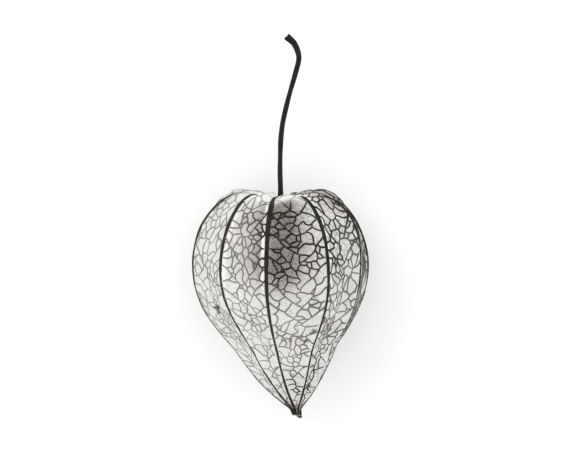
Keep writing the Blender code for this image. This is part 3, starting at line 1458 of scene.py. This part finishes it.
    def straighten(self, corners: np.ndarray, veins: dict) -> np.ndarray:
        """Draws the veins straighter, the strong ones first, and lets the finer ones follow.

        Args:
            corners: The corners.
            veins: Pairs of corner numbers by rank.

        Returns:
            The moved corners. Corners on a rib stay on it.
        """
        free = (corners[:, 0] > 1e-5) & (corners[:, 0] < self.form.panel - 1e-5)
        for rank, rounds in ((VeinRank.BRANCH, 4), (VeinRank.LOOP, 3), (VeinRank.MESH, 2)):
            edges = np.array(veins[rank]).reshape(-1, 2)
            for _ in range(rounds):
                total, count = np.zeros_like(corners), np.zeros(len(corners))
                for a, b in (edges.T, edges.T[::-1]):
                    np.add.at(total, a, corners[b])
                    np.add.at(count, a, 1)
                moved = free & (count >= 2)
                mean = total[moved] / count[moved][:, None]
                corners[moved] += 0.5 * (mean - corners[moved])
            free[edges.ravel()] = False
        return corners


# ---------------------------------------------------------------------------------------------------
# The pieces
# ---------------------------------------------------------------------------------------------------


@dataclass
class Husk:
    """The papery husk: ribs, branches, net, membrane, knots and the teeth at the tip.

    Attributes:
        form: Its form.
        groups: The shared shader groups.
        tubes: The tree that makes tubes.
        knots: The tree that makes knots.
        rib_radius: A rib's radius, before its taper and its own strength.
        rib_taper: Shares of the outline's length with the rib's thickness there.
        rib_strengths: How thick each rib is, from the front rib round to the right.
        rib_unevenness: How uneven a rib's thickness is.
        rib_start: How far from the rim a rib starts.
        rib_end: How far from the tip it ends.
        rib_points: Points along a rib.
        branch_radius: A branch's radius where it leaves its rib.
        loop_radius: A loop's radius.
        mesh_radius: The radius of the finest modelled veins.
        branch_thinning: How much thinner a branch is in the panel's middle.
        loop_thinning: How much thinner a loop is there, from just over its radius at the ribs.
        young_vein: A vein's thickness where "age" is 0, as a share of its radius.
        old_vein: What "age" at 1 adds to that share.
        slack_vein: How much thinner a vein is on the slack flank.
        tip_vein: A vein's thickness at the tip, as a share of that on the wide husk.
        vein_unevenness: How uneven a vein's thickness is.
        full_width: The husk's radius from which veins have their full thickness.
        end_thinning: How much thinner a vein is where it runs into a rib.
        knot_size: A knot's size, for a loop's thickness of 1.
        rib_sinking: How deep a vein's end is sunk into its rib.
        membrane_thickness: Thickness of the skin between the veins.
        cell_sag: How far a cell's middle sags.
        sag_range: The least and the most that a cell sags, as shares of that.
        torn_above: The level of the tearing field above which a cell is torn out.
        tear_scatter: How much chance there is in which cells are torn out.
        highlight_after_rib: How strong the painted highlight in the strip right of each rib is.
        highlight_before_rib: How strong the painted highlight in the strip left of each rib is.
        highlight_full_depth: The depth down to which those painted highlights are as strong as that.
        highlight_fading: How much weaker they are at the tip.
        teeth: How many teeth the tip has.
        tooth_start: The depth at which the teeth start.
        tooth_length: Their length.
        tooth_twist: How far they twist round each other.
        tooth_bend: How far their tips bend to the right.
        tooth_stagger: How much higher every second tooth is.
        tooth_spread: Shares of their length with their distance from the axis there.
        tooth_radii: Shares of their length with their radius there.
        seed: The seed of the random draws.
    """

    form: HuskForm
    groups: Groups
    tubes: bpy.types.NodeTree
    knots: bpy.types.NodeTree
    rib_radius: float = 0.38 * MM
    rib_taper: tuple = (
        (0.0, 0.5), (0.12, 0.8), (0.2, 1.1), (0.4, 0.92), (0.6, 0.58), (0.8, 0.42), (1.0, 0.6)
    )
    rib_strengths: tuple = (1.28, 1.08, 0.75, 1.25, 0.8, 0.9, 0.8, 0.85, 1.10, 1.08)
    rib_unevenness: float = 0.07
    rib_start: float = 0.2 * MM
    rib_end: float = 0.3 * MM
    rib_points: int = 110
    branch_radius: float = 0.235 * MM
    loop_radius: float = 0.205 * MM
    mesh_radius: float = 0.05 * MM
    branch_thinning: float = 0.35
    loop_thinning: float = 0.1
    young_vein: float = 0.62
    old_vein: float = 0.40
    slack_vein: float = 0.14
    tip_vein: float = 0.5
    vein_unevenness: float = 0.16
    full_width: float = 15.0 * MM
    end_thinning: float = 0.4
    knot_size: float = 1.1
    rib_sinking: float = 0.2 * MM
    membrane_thickness: float = 0.06 * MM
    cell_sag: float = 0.09 * MM
    sag_range: tuple[float, float] = (-0.2, 1.3)
    torn_above: float = 2.2
    tear_scatter: float = 0.45
    highlight_after_rib: tuple = (0.15, 1.0, 0.3, 0.3, 0.3, 0.3, 0.3, 0.3, 0.5, 1.0)
    highlight_before_rib: tuple = (1.0, 0.35, 0.3, 0.3, 0.3, 0.3, 0.3, 0.3, 0.3, 0.4)
    highlight_full_depth: float = 15.0 * MM
    highlight_fading: float = 0.75
    teeth: int = 5
    tooth_start: float = 42.4 * MM
    tooth_length: float = 3.0 * MM
    tooth_twist: float = 1.3
    tooth_bend: float = 0.5 * MM
    tooth_stagger: float = 0.15 * MM
    tooth_spread: tuple = ((0.0, 1.15 * MM), (0.4, 0.50 * MM), (1.0, 0.30 * MM))
    tooth_radii: tuple = ((0.0, 0.30 * MM), (0.3, 0.46 * MM), (0.8, 0.36 * MM), (1.0, 0.12 * MM))
    seed: int = 17

    def build(self) -> list[bpy.types.Object]:
        """Builds all the husk's pieces.

        Returns:
            The pieces.
        """
        nets = VeinNet(self.form).grow()
        ribs = self.build_ribs(RIB_FIBRE.material(self.groups))
        teeth = self.build_teeth(ribs.data.materials[0])
        veins = VEIN_FIBRE.material(self.groups)
        branches = self.build_veins("husk_branches", nets, VeinRank.BRANCH, veins, 6)
        loops = self.build_veins("husk_loops", nets, VeinRank.LOOP, veins, 5)
        fine = NET_FIBRE.material(self.groups)
        half = self.form.ribs // 2
        turned = nets[-2:] + nets[:-2]
        front = self.build_veins("husk_net_front", turned[:half], VeinRank.MESH, fine, 4)
        back = self.build_veins("husk_net_back", turned[half:], VeinRank.MESH, fine, 4)
        knots = self.build_knots(nets, veins)
        membrane = self.build_membrane(nets)
        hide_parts("husk")
        pieces = [membrane, ribs, teeth, branches, loops, front, back, knots]
        for piece in pieces:
            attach(piece, "root")
        return pieces

    def build_ribs(self, fibre: bpy.types.Material) -> bpy.types.Object:
        """The ten ribs, thickest on the shoulders and finest at the tip.

        Args:
            fibre: Their material.

        Returns:
            The ribs as one piece.
        """
        form = self.form
        along = np.linspace(self.rib_start, form.length - self.rib_end, self.rib_points)
        taper = np.interp(along / form.length, *zip(*self.rib_taper))
        points, edges, thickness, age = [], [], [], []
        for rib in range(form.ribs):
            turn = np.full_like(along, rib * form.panel)
            radius = self.rib_radius * taper * self.rib_strengths[rib]
            uneven = Ripples(seed=40 + rib, along_rates=(300.0, 1400.0)).at(turn, along)
            radius = radius * (1.0 + self.rib_unevenness * uneven)
            start = rib * len(along)
            points.append(form.skin(turn, along, -0.5 * self.rib_sinking, radius))
            thickness.append(radius)
            age.append(form.age(turn, along))
            edges += [(start + i, start + i + 1) for i in range(len(along) - 1)]
        source = new_mesh_object("rib_paths", np.vstack(points), edges, [])
        add_values(source, "thickness", np.concatenate(thickness))
        add_values(source, "age", np.concatenate(age))
        return grown("husk_ribs", source, self.tubes, {"Sides": 10, "Material": fibre})

    def build_teeth(self, fibre: bpy.types.Material) -> bpy.types.Object:
        """The five small teeth, twisted together into a short beak that points to one side.

        Args:
            fibre: Their material.

        Returns:
            The teeth as one piece.
        """
        form = self.form
        share = np.linspace(0.0, 1.0, 14)
        depth = self.tooth_start + self.tooth_length * share
        away = np.interp(share, *zip(*self.tooth_spread))
        points, edges, thickness = [], [], []
        for tooth in range(self.teeth):
            angle = form.first_rib + tooth * math.tau / self.teeth + self.tooth_twist * share
            x = away * np.sin(angle) + form.lean(depth) + self.tooth_bend * share**2
            z = self.tooth_stagger * (tooth % 2) - depth
            start = len(points) * len(share)
            points.append(form.lying.place(x, -away * np.cos(angle), z))
            thickness.append(np.interp(share, *zip(*self.tooth_radii)))
            edges += [(start + i, start + i + 1) for i in range(len(share) - 1)]
        source = new_mesh_object("tooth_paths", np.vstack(points), edges, [])
        add_values(source, "thickness", np.concatenate(thickness))
        add_values(source, "age", np.ones(self.teeth * len(share)))
        return grown("husk_teeth", source, self.tubes, {"Sides": 8, "Material": fibre})

    def vein_thickness(self, rank: VeinRank, turn: np.ndarray, along: np.ndarray) -> np.ndarray:
        """Radii of veins of one rank, which thin out away from the ribs and towards the tip.

        Args:
            rank: The rank.
            turn: The corners' turns.
            along: Their distances along the outline.

        Returns:
            The radii.
        """
        form = self.form
        across = np.abs(np.sin(turn * form.ribs / 2.0))
        wide = smoothstep(form.radius_at(along) / self.full_width)
        narrow = self.tip_vein + (1.0 - self.tip_vein) * wide
        base = {
            VeinRank.BRANCH: self.branch_radius * (1.0 - self.branch_thinning * across),
            VeinRank.LOOP: self.loop_radius * (1.0 + self.loop_thinning * (0.5 - across)),
            VeinRank.MESH: self.mesh_radius * np.ones_like(across),
        }[rank]
        aged = self.young_vein + self.old_vein * form.age(turn, along)
        base = base * aged * (1.0 - self.slack_vein * form.slack(along))
        uneven = Ripples(seed=61, along_rates=(200.0, 900.0)).at(turn, along)
        return base * narrow * (1.0 + self.vein_unevenness * uneven)

    def build_veins(
        self, name: str, nets: list[PanelNet], rank: VeinRank, fibre: bpy.types.Material, sides: int
    ) -> bpy.types.Object:
        """The veins of one rank.

        Args:
            name: The piece's name.
            nets: The panels' nets that it covers.
            rank: The rank.
            fibre: The material.
            sides: Sides of a vein's tube.

        Returns:
            The veins as one piece.
        """
        points, edges, thickness, age, start = [], [], [], [], 0
        for net in nets:
            used = sorted({corner for edge in net.veins[rank] for corner in edge})
            number = {corner: start + i for i, corner in enumerate(used)}
            edges += [(number[a], number[b]) for a, b in net.veins[rank]]
            turn, along = net.turns[used], net.alongs[used]
            on_rib = self.form.on_rib(turn)
            radius = self.vein_thickness(rank, turn, along) * (1.0 - self.end_thinning * on_rib)
            points.append(self.form.skin(turn, along, -self.rib_sinking * on_rib, radius))
            thickness.append(radius)
            age.append(self.form.age(turn, along))
            start += len(used)
        source = new_mesh_object(name + "_paths", np.vstack(points), edges, [])
        add_values(source, "thickness", np.concatenate(thickness))
        add_values(source, "age", np.concatenate(age))
        return grown(name, source, self.tubes, {"Sides": sides, "Material": fibre})

    def build_knots(self, nets: list[PanelNet], fibre: bpy.types.Material) -> bpy.types.Object:
        """A knot where three or more of the stronger veins meet.

        Args:
            nets: The panels' nets.
            fibre: The material.

        Returns:
            The knots as one piece.
        """
        points, thickness, age = [], [], []
        for net in nets:
            strong = np.array(net.veins[VeinRank.BRANCH] + net.veins[VeinRank.LOOP])
            meets = np.bincount(strong.ravel(), minlength=len(net.turns))
            chosen = (meets >= 3) & ~self.form.on_rib(net.turns)
            turn, along = net.turns[chosen], net.alongs[chosen]
            radius = self.knot_size * self.vein_thickness(VeinRank.LOOP, turn, along)
            points.append(self.form.skin(turn, along, 0.0, radius))
            thickness.append(radius)
            age.append(self.form.age(turn, along))
        source = new_mesh_object("knot_points", np.vstack(points), [], [])
        add_values(source, "thickness", np.concatenate(thickness))
        add_values(source, "age", np.concatenate(age))
        return grown("husk_vein_knots", source, self.knots, {"Material": fibre})

    def build_membrane(self, nets: list[PanelNet]) -> bpy.types.Object:
        """The skin over the net's cells: each cell sags between its veins, and a few are torn out.

        Args:
            nets: The panels' nets.

        Returns:
            The membrane.
        """
        form, rng = self.form, np.random.default_rng(self.seed)
        tears = Ripples(seed=71, waves=8, turn_rates=(3, 14), along_rates=(150.0, 520.0))
        points, faces, start = [], [], 0
        values = defaultdict(list)
        for panel, net in enumerate(nets):
            count, cells = len(net.turns), len(net.cells)
            sag = -self.cell_sag * rng.uniform(*self.sag_range, cells)
            turn = np.concatenate([net.turns, net.middles[:, 0]])
            along = np.concatenate([net.alongs, net.middles[:, 1]])
            points.append(form.skin(turn, along, np.concatenate([np.zeros(count), sag])))
            torn = tears.at(*net.middles.T) + rng.normal(0.0, self.tear_scatter, cells) > self.torn_above
            for number, ring in enumerate(net.cells):
                if torn[number] or len(ring) < 3:
                    continue
                hub = start + count + number
                faces += [(start + b, start + a, hub) for a, b in zip(ring, ring[1:] + ring[:1])]
            width, depth = form.radius_at(along), form.depth_at(along)
            # painted highlights in the strips beside the ribs, weaker towards the tip
            fading = 1.0 - self.highlight_fading * rise(depth, self.highlight_full_depth, 14 * MM)
            values["from_left_rib"].append((turn - panel * form.panel) * width)
            values["from_right_rib"].append(((panel + 1) * form.panel - turn) * width)
            values["left_highlight"].append(self.highlight_after_rib[panel] * fading)
            values["right_highlight"].append(self.highlight_before_rib[(panel + 1) % form.ribs] * fading)
            values["age"].append(form.age(turn, along))
            # painted shade in front of the berry and on the shoulders, with the dried tip
            values["shade_and_dried_tip"].append(form.painted_shade_and_dried_tip(turn, along))
            # painted highlight on the rim round the dimple
            values["rim"].append(form.rim_highlight(turn, along))
            start += count + cells
        membrane = new_mesh_object("husk_membrane", np.vstack(points), [], faces)
        for name, parts in values.items():
            add_values(membrane, name, np.concatenate(parts))
        wall = membrane.modifiers.new("wall", "SOLIDIFY")
        wall.thickness = self.membrane_thickness
        wall.offset = 0.0
        membrane.data.materials.append(MembraneFinish().material(self.groups))
        return membrane


@dataclass
class Berry:
    """The dried berry that hangs in the husk: round, puckered at both ends and finely wrinkled.

    Attributes:
        groups: The shared shader groups.
        sides: Points round it.
        rings: Rings from end to end.
        pucker: Depth of the folds near the ends.
        folds: How many folds there are.
        wrinkle: Depth of the wrinkles.
        crease_width: The wrinkles' width, as a height of the field that they follow.
        stalk_pit: Depth of the pit at the stalk's end.
        far_pit: Depth of the pit at the far end.
        pit_width: The pits' width, as an angle.
        scar: Height of the small scar in the far pit.
        scar_width: The scar's width, as an angle.
    """

    groups: Groups
    sides: int = 120
    rings: int = 72
    pucker: float = 0.35 * MM
    folds: int = 11
    wrinkle: float = 0.16 * MM
    crease_width: float = 1.0 / 3.0
    stalk_pit: float = 0.3 * MM
    far_pit: float = 0.7 * MM
    pit_width: float = 0.16
    scar: float = 0.9 * MM
    scar_width: float = 0.06

    def build(self) -> list[bpy.types.Object]:
        """Builds the berry.

        Returns:
            The berry, alone in a list.
        """
        low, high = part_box("berry")
        centre, half = np.array((low + high) / 2), np.array((high - low) / 2)
        polar = np.linspace(0.02, math.pi - 0.02, self.rings)[:, None]
        turn = np.linspace(0.0, math.tau, self.sides, endpoint=False)[None, :]
        ends = np.abs(np.cos(polar)) ** 3
        folds = ends * 0.5 * (1 + np.cos(self.folds * turn + 2.0 * np.sin(2 * turn)))
        along = polar * half[1]
        fine = Ripples(seed=83, waves=14, turn_rates=(3, 22), along_rates=(300.0, 1900.0)).at(turn, along)
        creases = bell(fine, 0.0, self.crease_width) * np.sin(polar)
        sink = self.pucker * folds + self.wrinkle * creases
        pit = self.stalk_pit * bell(polar, 0.0, self.pit_width)
        pit = pit + self.far_pit * bell(polar, math.pi, self.pit_width)
        nub = self.scar * bell(polar, math.pi, self.scar_width)
        across = (half[0] - sink) * np.sin(polar)
        lengthwise = (half[1] - sink - pit + nub) * np.cos(polar)
        x = centre[0] + across * np.sin(turn)
        z = centre[2] + across * np.cos(turn)
        y = centre[1] + lengthwise + 0.0 * turn
        berry = loft("dried_berry", np.stack([x, y, z], axis=-1))
        # painted shade in the folds and wrinkles
        fold_shade = np.concatenate([np.clip(0.6 * folds + 0.75 * creases, 0, 1).ravel(), [1.0, 1.0]])
        add_values(berry, "fold_shade", fold_shade)
        berry.data.materials.append(BerryFinish().material(self.groups))
        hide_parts("berry")
        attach(berry, "root")
        return [berry]


@dataclass
class Stalk:
    """The thin stalk, ridged along its length, hooked and torn off at the far end.

    Attributes:
        lying: Where the lantern lies.
        groups: The shared shader groups.
        route: Knots as (x, y, z, half thickness) in the hanging lantern's coordinates, in millimetres,
            from the torn end to the berry.
        sides: Points round it.
        steps: Points along it between each two knots.
        ridges: Ridges round it.
        ridge_height: How high they are, for a radius of 1.
        twist: How fast they twist, in radians a metre.
        knob: How uneven its thickness is along it.
        knob_waves: The waves of that unevenness, as a rate in radians a metre and a phase.
        torn_length: How far from its end the tear reaches.
        flare: How much wider the torn end is.
        jag: How ragged the torn end is.
        seed: The seed of the ragged end.
    """

    lying: LyingFrame
    groups: Groups
    route: tuple = (
        (1.3, 3.4, 31.7, 0.66),
        (2.8, 3.3, 30.2, 0.56),
        (3.65, 3.0, 27.6, 0.54),
        (3.0, 2.5, 24.4, 0.51),
        (1.4, 1.7, 18.6, 0.48),
        (0.2, 0.9, 12.8, 0.48),
        (-0.1, 0.2, 6.0, 0.48),
        (0.0, 0.0, 0.0, 0.54),
        (0.0, 0.0, -2.7, 1.0),
        (0.0, 0.0, -3.9, 1.75),
        (0.0, 0.0, -4.7, 2.25),
        (0.0, 0.0, -5.5, 2.10),
        (0.0, 0.0, -6.1, 1.40),
    )
    sides: int = 30
    steps: int = 16
    ridges: int = 5
    ridge_height: float = 0.11
    twist: float = 90.0
    knob: float = 0.04
    knob_waves: tuple = ((900.0, 0.0), (370.0, 1.0))
    torn_length: float = 0.5 * MM
    flare: float = 0.08
    jag: float = 0.28 * MM
    seed: int = 97

    def build(self) -> list[bpy.types.Object]:
        """Builds the stalk.

        Returns:
            The stalk, alone in a list.
        """
        rng = np.random.default_rng(self.seed)
        route = smooth_route(np.array(self.route) * MM, self.steps)
        line = self.lying.place(route[:, 0], route[:, 1], route[:, 2])
        tangent = np.gradient(line, axis=0)
        tangent /= np.linalg.norm(tangent, axis=1)[:, None]
        run = np.concatenate(([0.0], np.cumsum(np.linalg.norm(np.diff(line, axis=0), axis=1))))
        knobs = sum(np.sin(rate * run + phase) for rate, phase in self.knob_waves)
        knobbly = 1.0 + self.knob * knobs
        torn = np.exp(-run / self.torn_length)
        thick = route[:, 3] * knobbly * (1.0 + self.flare * torn)
        turn = np.linspace(0.0, math.tau, self.sides, endpoint=False)
        rings, side = [], np.array((1.0, 0.0, 0.0))
        for point, ahead, radius, far in zip(line, tangent, thick, run):
            side = side - ahead * (side @ ahead)
            side /= np.linalg.norm(side)
            up = np.cross(ahead, side)
            ridge = self.ridge_height * np.cos(self.ridges * turn + self.twist * far)
            away = radius * (1.0 + ridge + 0.03 * np.sin(3 * turn + 400.0 * far))
            offset = np.outer(np.cos(turn), side) + np.outer(np.sin(turn), up)
            rings.append(point + offset * away[:, None])
        rings[0] = rings[0] - rng.uniform(0.0, self.jag, self.sides)[:, None] * tangent[0]
        stalk = loft("hooked_stalk", np.array(rings))
        hubs = [run[0], run[-1]]
        add_values(stalk, "run", np.concatenate([np.repeat(run, self.sides), hubs]))
        add_values(stalk, "age", np.ones(len(stalk.data.vertices)))
        stalk.data.materials.append(STALK_FIBRE.material(self.groups))
        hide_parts("stalk")
        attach(stalk, "root")
        return [stalk]


@dataclass
class Studio:
    """The pale table, the soft light and the camera above the lantern.

    Attributes:
        lens: The camera's focal length, in millimetres.
        fill: The share of the picture's height that the lantern takes.
        aspect: The picture's height for each unit of its width.
        sky: The strength of the even light from all round.
        lamp_power: The soft lamp's power, in watts.
        lamp_size: The soft lamp's width.
        lamp_place: Where the lamp is, from the lantern's middle.
        table_size: The table's width.
    """

    lens: float = 120.0
    fill: float = 0.86
    aspect: float = 450 / 562
    sky: float = 1.24
    lamp_power: float = 0.45
    lamp_size: float = 0.35
    lamp_place: tuple[float, float, float] = (-0.32, 0.30, 0.55)
    table_size: float = 6.0

    def build(self) -> None:
        """Sets up the table, the light and the camera."""
        low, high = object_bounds()
        centre = (low + high) / 2
        self.lay_table(low.z)
        self.light(centre)
        self.aim_camera(low, high)

    def lay_table(self, height: float) -> None:
        """Lays the table under the lantern.

        Args:
            height: The table's height.
        """
        signs = ((-1, -1), (1, -1), (1, 1), (-1, 1))
        corners = np.array([(x * self.table_size / 2, y * self.table_size / 2, height) for x, y in signs])
        table = new_mesh_object("pale_table", corners, [], [(0, 1, 2, 3)])
        table.data.materials.append(TableFinish().material())
        table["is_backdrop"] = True

    def light(self, centre: Vector) -> None:
        """Lights the lantern evenly, with one large soft lamp from the upper left.

        Args:
            centre: The lantern's middle.
        """
        world = bpy.data.worlds.new("even_light")
        world.use_nodes = True
        background = world.node_tree.nodes["Background"]
        background.inputs["Color"].default_value = (1.0, 1.0, 1.0, 1.0)
        background.inputs["Strength"].default_value = self.sky
        bpy.context.scene.world = world
        lamp = bpy.data.lights.new("soft_lamp", "AREA")
        lamp.shape = "DISK"
        lamp.size = self.lamp_size
        lamp.energy = self.lamp_power
        holder = bpy.data.objects.new("soft_lamp", lamp)
        holder.location = centre + Vector(self.lamp_place)
        holder.rotation_euler = (centre - holder.location).to_track_quat("-Z", "Y").to_euler()
        bpy.context.scene.collection.objects.link(holder)

    def aim_camera(self, low: Vector, high: Vector) -> None:
        """Points the camera straight down, with the stalk at the top.

        Args:
            low: The lantern's lowest corner.
            high: Its highest corner.
        """
        camera = bpy.data.cameras.new("camera")
        camera.lens = self.lens
        camera.clip_start = 0.01
        seen = (high.y - low.y) / self.fill
        distance = seen * self.lens / (camera.sensor_width * self.aspect)
        holder = bpy.data.objects.new("camera", camera)
        holder.location = ((low.x + high.x) / 2, (low.y + high.y) / 2, (low.z + high.z) / 2 + distance)
        bpy.context.scene.collection.objects.link(holder)
        bpy.context.scene.camera = holder
        bpy.context.scene.view_settings.view_transform = "Standard"


def report(pieces: list[bpy.types.Object]) -> None:
    """Logs each piece's name and its number of faces.

    Args:
        pieces: The pieces.
    """
    for piece in pieces:
        triangles = sum(len(face.vertices) - 2 for face in piece.data.polygons)
        LOG.info("%s: %d triangles", piece.name, triangles)


def main() -> None:
    """Builds the lantern and its studio."""
    logging.basicConfig(level=logging.INFO, format="%(name)s: %(message)s")
    lying = LyingFrame.of_cad(husk_length=45.0 * MM)
    groups = Groups()
    husk = Husk(HuskForm(lying), groups, tube_tree(), knot_tree())
    for maker in (husk, Berry(groups), Stalk(lying, groups)):
        report(maker.build())
    Studio().build()


if __name__ == "__main__":
    main()
